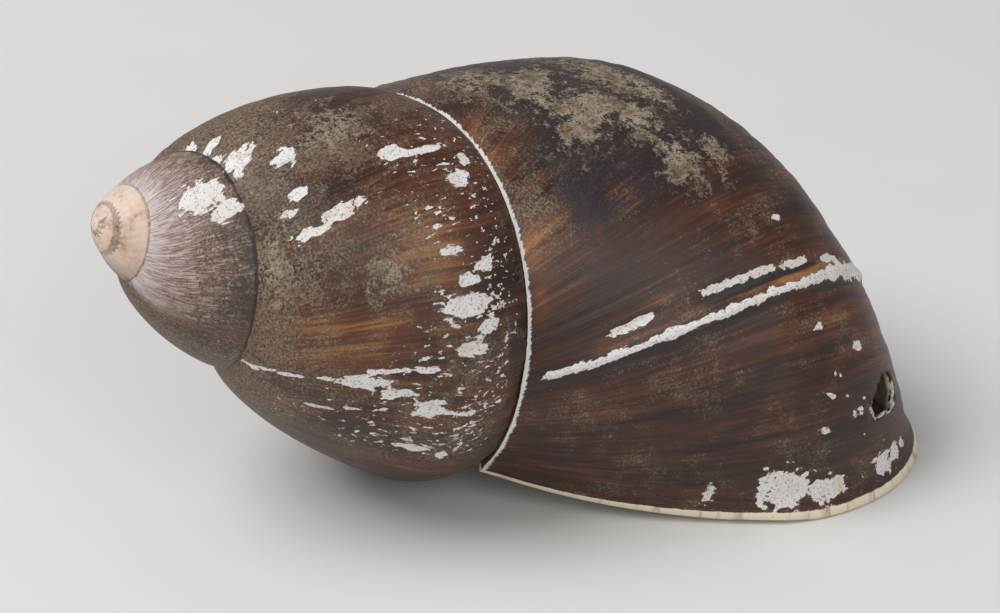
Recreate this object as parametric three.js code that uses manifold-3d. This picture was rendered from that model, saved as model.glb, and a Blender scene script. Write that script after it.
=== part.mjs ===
// A large right-handed land snail shell lying on its mouth, in millimetres with +Z up.
// The apex is towards -X, the foot of the mouth towards +X and the outer lip towards -Y.
// Growth is counted in whorls, or turns round the shell's axis: 0 is the back corner of the mouth
// and -4 is the apex. Each whorl is a solid loft of sections, and the hollow is lofted the same
// way with the wall taken off, less everything that the whorl before it fills.
import * as THREE from "three";
import { LoftGeometry } from "three/addons/geometries/LoftGeometry.js";
import { mergeVertices } from "three/addons/utils/BufferGeometryUtils.js";
import Module from "manifold-3d";

// Growth stations: turn, then suture radius and its distance down the axis from the apex,
// then belly (widest) radius and its distance down the axis.
const STATIONS = [
  [-4.0, 1.4, 0.3, 6.0, 4.5],
  [-3.0, 4.0, 2.3, 11.2, 15.0],
  [-2.0, 8.2, 7.5, 20.5, 27.5],
  [-1.5, 12.8, 13.9, 28.4, 45.5],
  [-1.0, 20.4, 28.2, 35.3, 65.0],
  [-0.5, 28.1, 49.9, 40.0, 87.0],
  [0.0, 34.1, 75.9, 58.0, 142.0],
];

const AXIS_DIP = 23.34; // degrees that the axis slopes down from the apex to the foot
const PHASE = 258.2; // degrees round the axis of the back corner of the mouth, from +Y
const APEX_HEIGHT = 60.6; // apex above the surface that the shell lies on
const APEX_X = -67.4; // apex from the middle of the shell's box, along X
const APEX_Y = 5.75; // apex from the middle of the shell's box, along Y

const SHOULDER_FULLNESS = 1.43; // roundness of a whorl from its suture to its belly
const LIP_SHOULDER_FULLNESS = 0.95; // the same at the mouth, where the shoulder is drawn flat
const BASE_FULLNESS = 2.1; // roundness from the belly down to the foot
const FOOT_REACH = 1.285; // foot distance from the apex, as a share of the belly's
const FOOT_RADIUS = 0.5; // foot radius as a share of the belly's
const PILLAR_RADIUS = 0.115; // central pillar radius as a share of the belly's
const PILLAR_FOOT = 0.85; // pillar's end as a share of the foot's distance
const PILLAR_END = -0.4; // turn whose foot the pillar stops at
const PILLAR_TIP = 9; // rounded end of the pillar beyond that
const WALL = 0.038; // wall thickness as a share of the belly radius
const THINNEST_WALL = 0.7;

const MOST_STEPS = 11; // loft sections in the last half turns, fewer towards the apex
const SHOULDER_POINTS = 7; // section points from suture to belly
const BASE_POINTS = 5; // section points from belly to foot
const OVERLAP = 0.003; // turns that neighbouring lofts share
const MOUTH_CLEARANCE = 0.05; // turns that the hollow runs on past the mouth
const FIRST_TURN = -4;
const HOLLOW_FROM = -2; // the hollow is modelled from here; the tip above it is solid
const LAST_TURN = 0.0;
const BULB_RADIUS = 4.6; // round first whorl at the apex

const HOLE_X = 53.0; // broken hole through the wall, near the foot of the outer lip
const HOLE_Y = -38.0;
const HOLE_Z = 16.5;
const HOLE_DEPTH = 8; // on each side of the wall
// Outline of the hole seen from outside: distance to the right, then up.
const HOLE_OUTLINE = [
  [4.2, 2.4],
  [3.8, -1.6],
  [2.5, -2.8],
  [-4.6, -1.9],
  [-4.4, 0.0],
  [-3.2, 1.6],
  [-1.0, 2.7],
];

const wasm = await Module();
wasm.setup();

// Value of one station column at a turn: a smooth curve through the logarithms.
function station(column, turn) {
  const t = THREE.MathUtils.clamp(turn, STATIONS[0][0], STATIONS.at(-1)[0] + 0.1);
  const last = STATIONS.length - 1;
  let i = 0;
  while (i < last - 1 && t > STATIONS[i + 1][0]) i += 1;
  const at = (k) => STATIONS[k][0];
  const log = (k) => Math.log(STATIONS[k][column]);
  const slope = (k) => {
    const a = Math.max(k - 1, 0);
    const b = Math.min(k + 1, last);
    return (log(b) - log(a)) / (at(b) - at(a));
  };
  const span = at(i + 1) - at(i);
  const u = (t - at(i)) / span;
  const a = log(i) * (1 + 2 * u) * (1 - u) * (1 - u) + log(i + 1) * u * u * (3 - 2 * u);
  const b = slope(i) * u * (1 - u) * (1 - u) - slope(i + 1) * u * u * (1 - u);
  return Math.exp(a + b * span);
}

function shoulderFullness(turn) {
  const near = THREE.MathUtils.clamp(turn + 1, 0, 1);
  return THREE.MathUtils.lerp(SHOULDER_FULLNESS, LIP_SHOULDER_FULLNESS, near);
}

// Outer wall of a section, from suture over the belly to the foot, as radius and distance.
function outerWall(turn) {
  const suture = new THREE.Vector2(station(1, turn), station(2, turn));
  const belly = new THREE.Vector2(station(3, turn), station(4, turn));
  const foot = new THREE.Vector2(belly.x * FOOT_RADIUS, belly.y * FOOT_REACH);
  const shoulderPower = 2 / shoulderFullness(turn);
  const basePower = 2 / BASE_FULLNESS;
  const wall = [];
  for (let i = 0; i <= SHOULDER_POINTS; i += 1) {
    const a = (i / SHOULDER_POINTS) * (Math.PI / 2);
    const out = Math.sin(a) ** shoulderPower;
    const back = Math.max(Math.cos(a), 0) ** shoulderPower;
    const radius = suture.x + (belly.x - suture.x) * out;
    wall.push(new THREE.Vector2(radius, belly.y - (belly.y - suture.y) * back));
  }
  for (let i = 1; i <= BASE_POINTS; i += 1) {
    const a = (i / BASE_POINTS) * (Math.PI / 2);
    const out = Math.max(Math.cos(a), 0) ** basePower;
    const down = Math.sin(a) ** basePower;
    const radius = foot.x + (belly.x - foot.x) * out;
    wall.push(new THREE.Vector2(radius, belly.y + (foot.y - belly.y) * down));
  }
  return wall;
}

// Moves an open line of points to its left by a distance.
function inset(line, distance) {
  return line.map((point, i) => {
    const ahead = line[Math.min(i + 1, line.length - 1)];
    const behind = line[Math.max(i - 1, 0)];
    const along = ahead.clone().sub(behind).normalize();
    return new THREE.Vector2(point.x - along.y * distance, point.y + along.x * distance);
  });
}

// Closed section at a turn. The inner side runs at a radius near the axis.
function section(turn, wallOff, innerRadius) {
  let line = outerWall(turn);
  if (wallOff > 0) line = inset(line, wallOff);
  const first = line[0];
  const foot = line.at(-1);
  const pillarEnd = new THREE.Vector2(innerRadius, foot.y * PILLAR_FOOT);
  const between = new THREE.Vector2((foot.x * 2 + innerRadius) / 3, foot.y * 0.955);
  const middle = new THREE.Vector2(innerRadius, (pillarEnd.y + first.y) / 2);
  line.push(between, pillarEnd, middle, new THREE.Vector2(innerRadius, first.y));
  return line;
}

// Where a section point stands in the shell's resting frame.
const lean = new THREE.Matrix4().makeRotationY(THREE.MathUtils.degToRad(AXIS_DIP));
const apex = new THREE.Vector3(APEX_X, APEX_Y, APEX_HEIGHT);
function place(turn, radius, distance) {
  const angle = turn * Math.PI * 2 + THREE.MathUtils.degToRad(PHASE);
  const point = new THREE.Vector3(distance, radius * Math.cos(angle), radius * Math.sin(angle));
  return point.applyMatrix4(lean).add(apex);
}

function wallAt(turn) {
  return Math.max(WALL * station(3, turn), THINNEST_WALL);
}

function pillarAt(turn) {
  return PILLAR_RADIUS * station(3, turn);
}

function solidOf(geometry) {
  const bare = new THREE.BufferGeometry();
  bare.setAttribute("position", geometry.getAttribute("position"));
  bare.setIndex(geometry.getIndex());
  const merged = mergeVertices(bare, 1e-4);
  const mesh = new wasm.Mesh({
    numProp: 3,
    vertProperties: merged.getAttribute("position").array,
    triVerts: new Uint32Array(merged.getIndex().array),
  });
  return new wasm.Manifold(mesh);
}

function loft(from, to, sectionAt) {
  const sections = [];
  const steps = Math.round(MOST_STEPS + Math.min(from + 1, 0) * 2);
  for (let i = 0; i <= steps; i += 1) {
    const turn = from + ((to - from) * i) / steps;
    sections.push(sectionAt(turn).map((p) => place(turn, p.x, p.y)).reverse());
  }
  return solidOf(new LoftGeometry(sections, { capStart: true, capEnd: true }));
}

function solidWhorl(from, to) {
  return loft(from, to, (turn) => section(turn, 0, pillarAt(turn) * 0.4));
}

function hollowWhorl(from, to) {
  return loft(from, to, (turn) => section(turn, wallAt(turn), pillarAt(turn)));
}

// The pillar that all whorls turn round, filling the core that the lofts leave.
function pillar() {
  const profile = [new THREE.Vector2(0, 2), new THREE.Vector2(1.3, 2)];
  for (let i = 0; i <= 6; i += 1) {
    const turn = THREE.MathUtils.lerp(-3, PILLAR_END, i / 6);
    const reach = station(4, turn) * FOOT_REACH * PILLAR_FOOT;
    profile.push(new THREE.Vector2(pillarAt(turn) * 0.8, reach));
  }
  const end = profile.at(-1);
  profile.push(new THREE.Vector2(end.x * 0.7, end.y + PILLAR_TIP * 0.6));
  profile.push(new THREE.Vector2(0, end.y + PILLAR_TIP));
  const geometry = new THREE.LatheGeometry(profile, 16);
  geometry.rotateZ(-Math.PI / 2);
  geometry.applyMatrix4(lean);
  geometry.translate(apex.x, apex.y, apex.z);
  return solidOf(geometry);
}

function bulb() {
  const geometry = new THREE.SphereGeometry(BULB_RADIUS, 20, 14);
  geometry.rotateZ(Math.PI / 2);
  geometry.translate(BULB_RADIUS, 0, 0);
  geometry.applyMatrix4(lean);
  geometry.translate(apex.x, apex.y, apex.z);
  return solidOf(geometry);
}

// Everything below the surface that the shell lies on.
function ground() {
  const geometry = new THREE.BoxGeometry(400, 400, 100);
  geometry.translate(0, 0, -50);
  return solidOf(geometry);
}

function hole() {
  const outline = new THREE.Shape(HOLE_OUTLINE.map((p) => new THREE.Vector2(...p)));
  const options = { depth: HOLE_DEPTH * 2, bevelEnabled: false };
  const geometry = new THREE.ExtrudeGeometry(outline, options);
  geometry.translate(0, 0, -HOLE_DEPTH);
  const aim = new THREE.Object3D();
  aim.up.set(0, 0, 1);
  aim.position.set(HOLE_X, HOLE_Y, HOLE_Z);
  aim.lookAt(HOLE_X + 4.7, HOLE_Y - 8.5, HOLE_Z + 2.5);
  aim.updateMatrix();
  geometry.applyMatrix4(aim.matrix);
  return solidOf(geometry);
}

const solids = new Map();
for (let from = FIRST_TURN; from < LAST_TURN; from += 0.5) {
  solids.set(from, solidWhorl(from, from + 0.5 + OVERLAP));
}

let body = pillar().add(bulb());
for (const solid of solids.values()) body = body.add(solid);

// The hollow of a half turn, less the whorl before it that it lies against.
function spaceOf(from, to) {
  let space = hollowWhorl(from, to);
  for (const before of [from - 1.5, from - 1]) {
    if (solids.has(before)) space = space.subtract(solids.get(before));
  }
  return space;
}

let hollow = spaceOf(LAST_TURN, LAST_TURN + MOUTH_CLEARANCE);
for (let from = HOLLOW_FROM; from < LAST_TURN; from += 0.5) {
  hollow = hollow.add(spaceOf(from, from + 0.5 + OVERLAP / 2));
}
hollow = hollow.subtract(pillar());

const shellSolid = body.subtract(hollow).subtract(ground()).subtract(hole());
const result = shellSolid.getMesh();

const geometry = new THREE.BufferGeometry();
const corners = new Float32Array(result.vertProperties);
geometry.setAttribute("position", new THREE.BufferAttribute(corners, 3));
geometry.setIndex(new THREE.BufferAttribute(new Uint32Array(result.triVerts), 1));
geometry.computeVertexNormals();

const material = new THREE.MeshStandardMaterial({ color: 0x5a3620, roughness: 0.5 });
const shell = new THREE.Mesh(geometry, material);
shell.name = "shell";

const group = new THREE.Group();
group.name = "land_snail_shell";
group.add(shell);

export default group;
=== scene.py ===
"""A large land snail shell, grown whorl by whorl and weathered, on a pale studio floor.

Growth is counted in turns round the shell's axis: 0 is the back corner of the mouth and -4 is
the apex. A growth stage is one position that the lip once had. The lip stands aslant, so the
foot end of a stage lies further back round the axis than its suture end.
Lengths in tables and helpers are millimetres; MM turns them to metres.
"""

import math

import bmesh
import bpy
from mathutils import Matrix, Vector, noise


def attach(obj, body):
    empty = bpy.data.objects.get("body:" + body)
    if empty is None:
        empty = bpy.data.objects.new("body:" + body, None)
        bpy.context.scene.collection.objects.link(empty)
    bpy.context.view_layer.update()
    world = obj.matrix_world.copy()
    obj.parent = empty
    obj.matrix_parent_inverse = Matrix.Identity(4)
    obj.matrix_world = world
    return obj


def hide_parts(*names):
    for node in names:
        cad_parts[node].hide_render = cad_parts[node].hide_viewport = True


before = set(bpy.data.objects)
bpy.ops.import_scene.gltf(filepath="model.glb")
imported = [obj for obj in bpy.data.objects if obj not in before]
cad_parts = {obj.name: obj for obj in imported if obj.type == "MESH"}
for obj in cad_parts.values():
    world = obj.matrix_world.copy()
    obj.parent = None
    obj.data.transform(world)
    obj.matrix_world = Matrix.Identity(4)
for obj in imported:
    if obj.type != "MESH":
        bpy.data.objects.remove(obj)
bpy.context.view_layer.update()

bl_info = {
    "name": "Land snail shell",
    "version": (1, 0, 0),
    "blender": (4, 5, 0),
    "location": "3D View > Sidebar > Shell",
    "description": "Grows a weathered land snail shell and sets its studio",
    "category": "Add Mesh",
}

MM = 0.001

# Turn, suture radius and its distance down the axis, belly radius and its distance.
STATIONS = [
    (-4.0, 1.4, 0.3, 6.0, 4.5),
    (-3.0, 4.0, 2.3, 11.2, 15.0),
    (-2.0, 8.2, 7.5, 20.5, 27.5),
    (-1.5, 12.8, 13.9, 28.4, 45.5),
    (-1.0, 20.4, 28.2, 35.3, 65.0),
    (-0.5, 27.7, 49.9, 40.0, 87.0),
    (0.0, 32.4, 78.6, 58.0, 142.0),
]
SHOULDER_FULLNESS = 1.43
LIP_SHOULDER_FULLNESS = 0.95
BASE_FULLNESS = 2.1
BELLY_ROUNDING = 0.26  # how far the belly of the last whorl is rounded off, as v
FOOT_REACH = 1.285
FOOT_RADIUS = 0.5
PILLAR_FOOT = 0.85
PILLAR_RADIUS = 0.115
LIP_SLANT = 0.13  # turns that the foot of the lip lags behind its suture end
SLANT_WHOLE_AT = 0.95  # share of the wall's length down which the lag is whole
SLANT_CURVE = 0.82

FIRST_STAGE = -5.3
FORK_STAGE = -0.36  # from here on the stages swing round to meet the level lip
PILLAR_STAGE = 0.06  # last stage on the pillar side of the mouth
LIP_STAGE = -0.066  # last stage of the lip where it isn't on the floor already
RIM_ROUND = (0.06, 0.16, 0.32, 0.5, 0.68, 0.84, 0.94, 1.0)  # shares across the lip
MOUTH_STEPS = 44  # rings of the inner skin behind the lip
INNER_STEP = 3.2  # further in they stand this far apart
FLOOR_CLEARANCE = 0.25  # between the inner skin and the whorl that it lies on
JOINT_INSET = 1.8  # wall thicknesses that the inner skin keeps from the suture
FOOT_PART = 0.25  # share of the spots on the whorl before that lie on its foot
OUTER, RIM, INNER = 0, 1, 2  # sides of the wall

OUTER_POINTS = 72  # points on a growth stage from suture to foot
FOOT_POINTS = 6
PILLAR_POINTS = 4
INNER_POINTS = 14


def linear(code):
    """sRGB hex to linear red, green, blue."""
    out = []
    for i in (1, 3, 5):
        c = int(code[i : i + 2], 16) / 255
        out.append(c / 12.92 if c <= 0.04045 else ((c + 0.055) / 1.055) ** 2.4)
    return tuple(out)


def clamp(x, lo=0.0, hi=1.0):
    """The nearest value to x from lo to hi."""
    return max(lo, min(hi, x))


def lerp(a, b, t):
    """The value a share t of the way from a to b."""
    return a + (b - a) * t


def smooth(lo, hi, x):
    """0 below lo, 1 above hi, and an S curve between them."""
    t = clamp((x - lo) / (hi - lo))
    return t * t * (3 - 2 * t)


def within(start, full, fade, end, x):
    """1 from full to fade, and 0 before start and after end."""
    return smooth(start, full, x) * (1 - smooth(fade, end, x))


def last_before(lo, hi, passed, rounds):
    """Halves the span down to the last value at which passed isn't true yet."""
    for _ in range(rounds):
        mid = (lo + hi) / 2
        if passed(mid):
            hi = mid
        else:
            lo = mid
    return lo


# ---------------------------------------------------------------- the law of growth


def station(column, turn):
    """One station column at a turn: a smooth curve through the logarithms."""
    last = len(STATIONS) - 1

    def at(k):
        return STATIONS[k][0]

    def log(k):
        return math.log(STATIONS[k][column])

    def slope(k):
        a, b = max(k - 1, 0), min(k + 1, last)
        return (log(b) - log(a)) / (at(b) - at(a))

    if turn < at(0):
        return math.exp(log(0) + slope(0) * (turn - at(0)))
    turn = min(turn, at(last) + 0.1)
    i = 0
    while i < last - 1 and turn > at(i + 1):
        i += 1
    span = at(i + 1) - at(i)
    u = (turn - at(i)) / span
    level = log(i) * (1 + 2 * u) * (1 - u) ** 2 + log(i + 1) * u * u * (3 - 2 * u)
    lean = slope(i) * u * (1 - u) ** 2 - slope(i + 1) * u * u * (1 - u)
    return math.exp(level + lean * span)


TABLE_STEP = 0.005
TABLE_FROM = -5.6
TABLE_ROWS = 1160
TABLE = [
    [station(column, TABLE_FROM + TABLE_STEP * i) for column in (1, 2, 3, 4)]
    for i in range(TABLE_ROWS)
]


def sizes_at(turn):
    """Suture radius and reach, belly radius and reach at a turn, read from the table."""
    x = clamp((turn - TABLE_FROM) / TABLE_STEP, 0, len(TABLE) - 2)
    i = int(x)
    f = x - i
    a, b = TABLE[i], TABLE[i + 1]
    return [a[k] + (b[k] - a[k]) * f for k in range(4)]


def wall_curve(turn, v):
    """The two curves of the wall, which meet at the belly."""
    suture_r, suture_z, belly_r, belly_z = sizes_at(turn)
    if v <= 1:
        full = lerp(SHOULDER_FULLNESS, LIP_SHOULDER_FULLNESS, clamp(turn + 1))
        a = max(v, 0.0) * math.pi / 2
        r = suture_r + (belly_r - suture_r) * math.sin(a) ** (2 / full)
        z = belly_z - (belly_z - suture_z) * max(math.cos(a), 0.0) ** (2 / full)
        return r, z
    a = min(v - 1, 1.0) * math.pi / 2
    foot_r, foot_z = belly_r * FOOT_RADIUS, belly_z * FOOT_REACH
    r = foot_r + (belly_r - foot_r) * max(math.cos(a), 0.0) ** (2 / BASE_FULLNESS)
    z = belly_z + (foot_z - belly_z) * math.sin(a) ** (2 / BASE_FULLNESS)
    return r, z


def wall_point(turn, v):
    """Radius and reach of the outer wall. v is 0 at the suture, 1 at the belly, 2 at the foot."""
    round_off = BELLY_ROUNDING * clamp(turn + 1) * (1 - smooth(0.05, 0.5, abs(v - 1)))
    if round_off < 0.01:
        return wall_curve(turn, v)
    near = [wall_curve(turn, v + round_off * part) for part in (-1, -0.5, 0, 0.5, 1)]
    return sum(r for r, _ in near) / len(near), sum(z for _, z in near) / len(near)


def wall_inset(turn, v, depth):
    """The outer wall moved in by a depth, square to itself."""
    r, z = wall_point(turn, v)
    lo, hi = max(v - 0.03, 0.002), min(v + 0.03, 1.998)
    r0, z0 = wall_point(turn, lo)
    r1, z1 = wall_point(turn, hi)
    dr, dz = r1 - r0, z1 - z0
    n = math.hypot(dr, dz) or 1.0
    return r - dz / n * depth, z + dr / n * depth


def foot_point(turn, f, pillar, depth):
    """From the foot of the wall round to the pillar, f from 0 to 1."""
    _, _, belly_r, belly_z = sizes_at(turn)
    foot_r, foot_z = belly_r * FOOT_RADIUS, belly_z * FOOT_REACH - depth
    end_z = belly_z * FOOT_REACH * PILLAR_FOOT - depth
    a = f * math.pi / 2
    r = foot_r - (foot_r - pillar) * math.sin(a)
    return r, end_z + (foot_z - end_z) * math.cos(a)


def wall_shares(turn):
    """Share of the wall's length that lies above each of the even steps of v."""
    points = [wall_point(turn, 2 * i / SHARE_STEPS) for i in range(SHARE_STEPS + 1)]
    runs = [0.0]
    for (r0, z0), (r1, z1) in zip(points, points[1:]):
        runs.append(runs[-1] + math.hypot(r1 - r0, z1 - z0))
    return [run / runs[-1] for run in runs]


SHARE_STEPS = 80
SHARES = wall_shares(-0.3)  # the last whorl's, halfway to the lip, stand for every whorl


def wall_share(v):
    """Share of the wall's length from the suture down to v."""
    x = clamp(v / 2) * SHARE_STEPS
    i = min(int(x), SHARE_STEPS - 1)
    return lerp(SHARES[i], SHARES[i + 1], x - i)


def slant(v):
    """Turns that a point of a growth stage lags behind the stage's suture end."""
    lagging = clamp(wall_share(v) / SLANT_WHOLE_AT) ** SLANT_CURVE
    return LIP_SLANT * math.sin(math.pi / 2 * lagging)


def joint_v(turn):
    """Where the next whorl's suture meets this whorl, as v."""
    reach = sizes_at(turn + 1)[1]
    return last_before(0.0, 2.0, lambda v: wall_point(turn, v)[1] >= reach, 24)


JOINT_STEP = 0.05
JOINTS = [joint_v(TABLE_FROM + JOINT_STEP * i) for i in range(115)]


def joint_near(turn):
    """The same, read from a table."""
    x = clamp((turn - TABLE_FROM) / JOINT_STEP, 0, len(JOINTS) - 2)
    i = int(x)
    return lerp(JOINTS[i], JOINTS[i + 1], x - i)


class Growth:
    """Places points of growth stages in the shell's resting frame."""

    def __init__(self, sizes):
        self.dip = sizes.axis_dip
        self.phase = sizes.phase
        self.apex = Vector(sizes.apex)
        self.wall = sizes.wall_share
        self.thinnest = sizes.thinnest_wall / MM
        self.cos, self.sin = math.cos(self.dip), math.sin(self.dip)

    def place(self, turn, r, z):
        """A point at a turn, a radius and a reach down the axis, in metres."""
        a = turn * math.tau + self.phase
        x, y, h = z, r * math.cos(a), r * math.sin(a)
        return self.apex + Vector(
            ((self.cos * x + self.sin * h) * MM, y * MM, (-self.sin * x + self.cos * h) * MM)
        )

    def thickness(self, turn):
        """Thickness of the wall at a turn."""
        return max(self.wall * sizes_at(turn)[2], self.thinnest)

    def point(self, spot, stage, inside):
        """Place of a ring spot at a growth stage, on the outer or the inner skin."""
        kind, f = spot
        if kind == "outer":
            turn = stage - slant(f)
            depth = self.thickness(turn) if inside else 0.0
            r, z = wall_inset(turn, f, depth) if inside else wall_point(turn, f)
            return self.place(turn, r, z)
        if kind == "foot":
            turn = stage - LIP_SLANT
            depth = self.thickness(turn) if inside else 0.0
            return self.place(turn, *foot_point(turn, f, self.pillar(turn, inside), depth))
        if kind == "pillar":
            turn = stage - LIP_SLANT
            pillar = self.pillar(turn, inside)
            low = foot_point(turn, 1.0, pillar, 0.0)[1]
            high = foot_point(turn - 1, 1.0, pillar, 0.0)[1]
            return self.place(turn, pillar, lerp(low, high, f))
        turn = stage - LIP_SLANT * (1 - f)
        over = FLOOR_CLEARANCE if inside else -0.5 * self.thickness(turn - 1)
        joint = joint_near(turn - 1)
        if inside:
            joint += JOINT_INSET * self.thickness(turn) / mm_per_v(turn - 1)
        v = lerp(2.0, min(joint, 2.0), clamp((f - FOOT_PART) / (1 - FOOT_PART)))
        if f < FOOT_PART:
            pillar = self.pillar(turn, inside)
            r, z = foot_point(turn - 1, 1 - f / FOOT_PART, pillar, -over)
            return self.place(turn, max(r, pillar), z)
        r, z = wall_inset(turn - 1, v, -over)
        return self.place(turn, r, z)

    def pillar(self, turn, inside):
        """Radius of the pillar at a turn: the outer skin keeps close to the axis."""
        return PILLAR_RADIUS * sizes_at(turn)[2] * (1.0 if inside else 0.4)


def ring_spots():
    """The spots of a growth stage in order: wall, foot, pillar and the whorl before."""
    spots = []
    for i in range(OUTER_POINTS):
        spots.append(("outer", 2.0 * (i / (OUTER_POINTS - 1)) ** 1.06))
    for i in range(1, FOOT_POINTS + 1):
        spots.append(("foot", i / FOOT_POINTS))
    for i in range(1, PILLAR_POINTS + 1):
        spots.append(("pillar", i / (PILLAR_POINTS + 1)))
    for i in range(INNER_POINTS):
        spots.append(("inner", i / (INNER_POINTS - 1)))
    return spots


# ---------------------------------------------------------------- marks on the skin

# Worn places where the skin is gone and the lime shows: stage, v, and half sizes in
# millimetres along the growth and across it.
CHIPS = [
    (-1.401, 0.19, 1.9, 3.2),
    (-1.355, 0.35, 1.6, 1.6),
    (-1.504, 0.07, 1.2, 2.0),
    (-1.462, 0.13, 0.9, 2.6),
    (-1.434, 0.06, 0.8, 1.6),
    (-1.257, 0.36, 1.0, 2.6),
    (-1.263, 0.47, 1.2, 2.2),
    (-1.306, 0.34, 0.9, 1.4),
    (-1.289, 0.29, 0.7, 1.2),
    (-1.296, 0.69, 1.2, 1.5),
    (-1.289, 0.8, 0.6, 4.0),
    (-1.256, 0.91, 1.5, 1.9),
    (-1.271, 1.0, 1.0, 1.7),
    (-1.196, 0.79, 0.8, 1.4),
    (-1.183, 0.95, 1.4, 2.2),
    (-1.174, 0.86, 0.9, 1.6),
    (-1.153, 0.86, 1.7, 3.6),
    (-1.135, 0.97, 1.3, 2.2),
    (-1.117, 0.9, 1.6, 1.8),
    (-1.087, 0.56, 1.1, 2.4),
    (-1.076, 0.66, 1.2, 2.0),
    (-1.061, 0.79, 1.9, 1.7),
    (-1.012, 0.8, 1.1, 1.8),
    (-1.007, 0.94, 0.7, 1.4),
    (-0.168, 1.03, 0.5, 1.3),
    (-0.151, 1.25, 0.9, 1.6),
    (-0.14, 1.1, 0.7, 1.3),
    (-0.113, 0.99, 0.5, 2.0),
    (-0.116, 1.19, 0.8, 1.3),
    (-0.231, 0.99, 0.6, 1.1),
    (-0.083, 1.32, 1.5, 2.8),
    (-0.085, 1.42, 1.4, 2.6),
    (-0.086, 1.49, 0.8, 1.2),
    (-0.082, 0.83, 3.6, 5.6),
    (-0.079, 1.02, 2.2, 5.6),
    (-0.087, 0.76, 2.2, 1.5),
    (-0.081, 0.6, 2.2, 0.5),
    (-2.294, 0.5, 2.6, 2.4),
    (-2.251, 0.62, 2.0, 1.5),
    (-0.61, 0.7, 1.4, 2.4),
    (-0.657, 0.95, 1.0, 2.0),
    (-0.776, 0.45, 1.1, 2.0),
    (-0.853, 1.2, 1.3, 3.0),
    (-1.711, 0.6, 1.4, 2.2),
]
# Thin cracks with pale edges: v from and to, stage at each end, half width.
CRACKS = [
    (0.06, 0.8, -1.085, -1.102, 0.34),
    (0.42, 1.2, -1.05, -1.063, 0.34),
    (1.0, 1.4, -0.134, -0.115, 0.12),
]
# Clear golden places near the suture: stage, v, half sizes.
GOLD = [
    (-0.302, 0.12, 4.5, 5.0),
    (-0.401, 0.12, 5.0, 4.0),
    (-0.257, 0.13, 3.0, 3.5),
    (-1.126, 0.45, 7.0, 9.0),
    (-1.191, 0.75, 6.0, 6.0),
]
# Dried mud: stage, v, half sizes.
MUD = [
    (-0.442, 0.38, 6.0, 5.0),
    (-0.399, 0.5, 6.5, 5.0),
    (-0.352, 0.56, 6.0, 6.0),
    (-0.325, 0.68, 4.5, 3.5),
    (-0.375, 0.78, 9.0, 5.0),
    (-0.344, 0.85, 6.0, 4.0),
    (-0.286, 0.71, 4.5, 3.5),
    (-0.281, 0.86, 4.0, 3.5),
    (-0.465, 0.9, 12.0, 9.0),
    (-1.247, 0.2, 11.0, 5.0),
    (-1.353, 0.55, 6.0, 5.0),
    (-1.191, 0.6, 5.0, 4.0),
    (-0.695, 0.9, 16.0, 12.0),
    (-0.594, 0.5, 12.0, 7.0),
]
RIBS_PER_TURN = 34  # on the first whorls
SCAR_STAGE = -0.1935  # an old edge of the lip, broken and grown over
SCAR_REACH = 0.06  # turns either side of it that it changes
STRIP_HALF, UPPER_STRIP_HALF = 0.68, 0.62  # half widths of its two pale strips
STRIPS_APART = 3.1
CRACK_REACH = 0.1  # turns either side of a crack's start that it may wander to


def mm_per_turn(turn, v):
    """Millimetres round the axis for a turn, at a place on the wall."""
    return math.tau * wall_point(turn, min(v, 1.5))[0]


def mm_per_v(turn):
    """Millimetres down the wall for each unit of v, on average."""
    _, suture_z, belly_r, belly_z = sizes_at(turn)
    return 0.5 * (belly_z * FOOT_REACH - suture_z + belly_r * (1 - FOOT_RADIUS))


def nearness(stage, v, spot, along, across):
    """1 in the middle of a spot, 0.5 on its edge, and 0 well outside it."""
    a = (stage - spot[0]) * along / spot[2]
    b = (v - spot[1]) * across / spot[3]
    d = a * a + b * b
    return 0.0 if d > 6 else 0.5 ** d


def scar_at(stage, v, along):
    """Strengths of the mended edge: bare lime, the groove with its painted shade, rust and the
    painted shade below it.

    The lower pale strip is whole, the upper one breaks into dashes, and rust and the groove
    lie between them.
    """
    if abs(stage - SCAR_STAGE) >= SCAR_REACH:
        return 0.0, 0.0, 0.0, 0.0
    below = (stage - SCAR_STAGE) * along - 0.2 * noise.noise(Vector((v * 6, 1.5, 4.0)))
    half = STRIP_HALF + 0.7 * smooth(1.1, 1.35, v) + 0.2 * noise.noise(Vector((v * 11, 7, 1)))
    ends = within(0.12, 0.2, 1.5, 1.65, v)
    lower = ends * 0.5 ** ((below / half) ** 2)
    apart = STRIPS_APART + 0.8 * math.sin(math.pi * clamp((v - 0.3) / 0.7))
    apart -= 1.2 * smooth(1.0, 1.4, v)
    dashes = smooth(-0.15, 0.15, noise.noise(Vector((v * 6.5, 3.3, 9.0))) + 0.05)
    dashes *= within(0.28, 0.4, 1.25, 1.4, v)
    upper = dashes * 0.5 ** (((-below - apart) / UPPER_STRIP_HALF) ** 2)
    rust = 0.6 * within(0.4, 0.9, 1.6, 2.3, -below) * within(0.2, 0.4, 1.3, 1.5, v)
    groove = within(1.3, 2.0, apart - 1.0, apart - 0.2, -below) * within(0.5, 0.7, 1.3, 1.5, v)
    # painted shade under the step below the lower strip
    shade = within(0.5, 1.2, 1.8, 3.2, below) * ends
    return max(lower, upper), groove, rust, shade


def cracks_at(stage, v, along):
    """How bare the skin is beside the thin cracks."""
    bare = 0.0
    for v0, v1, g0, g1, half in CRACKS:
        if v0 < v < v1 and abs(stage - g0) < CRACK_REACH:
            wander = 0.9 * noise.noise(Vector((v * 9, g0 * 7, 2.0)))
            mid = lerp(g0, g1, (v - v0) / (v1 - v0)) + wander / along
            bare = max(bare, 0.5 ** (((stage - mid) * along / half) ** 2))
    return bare


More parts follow.
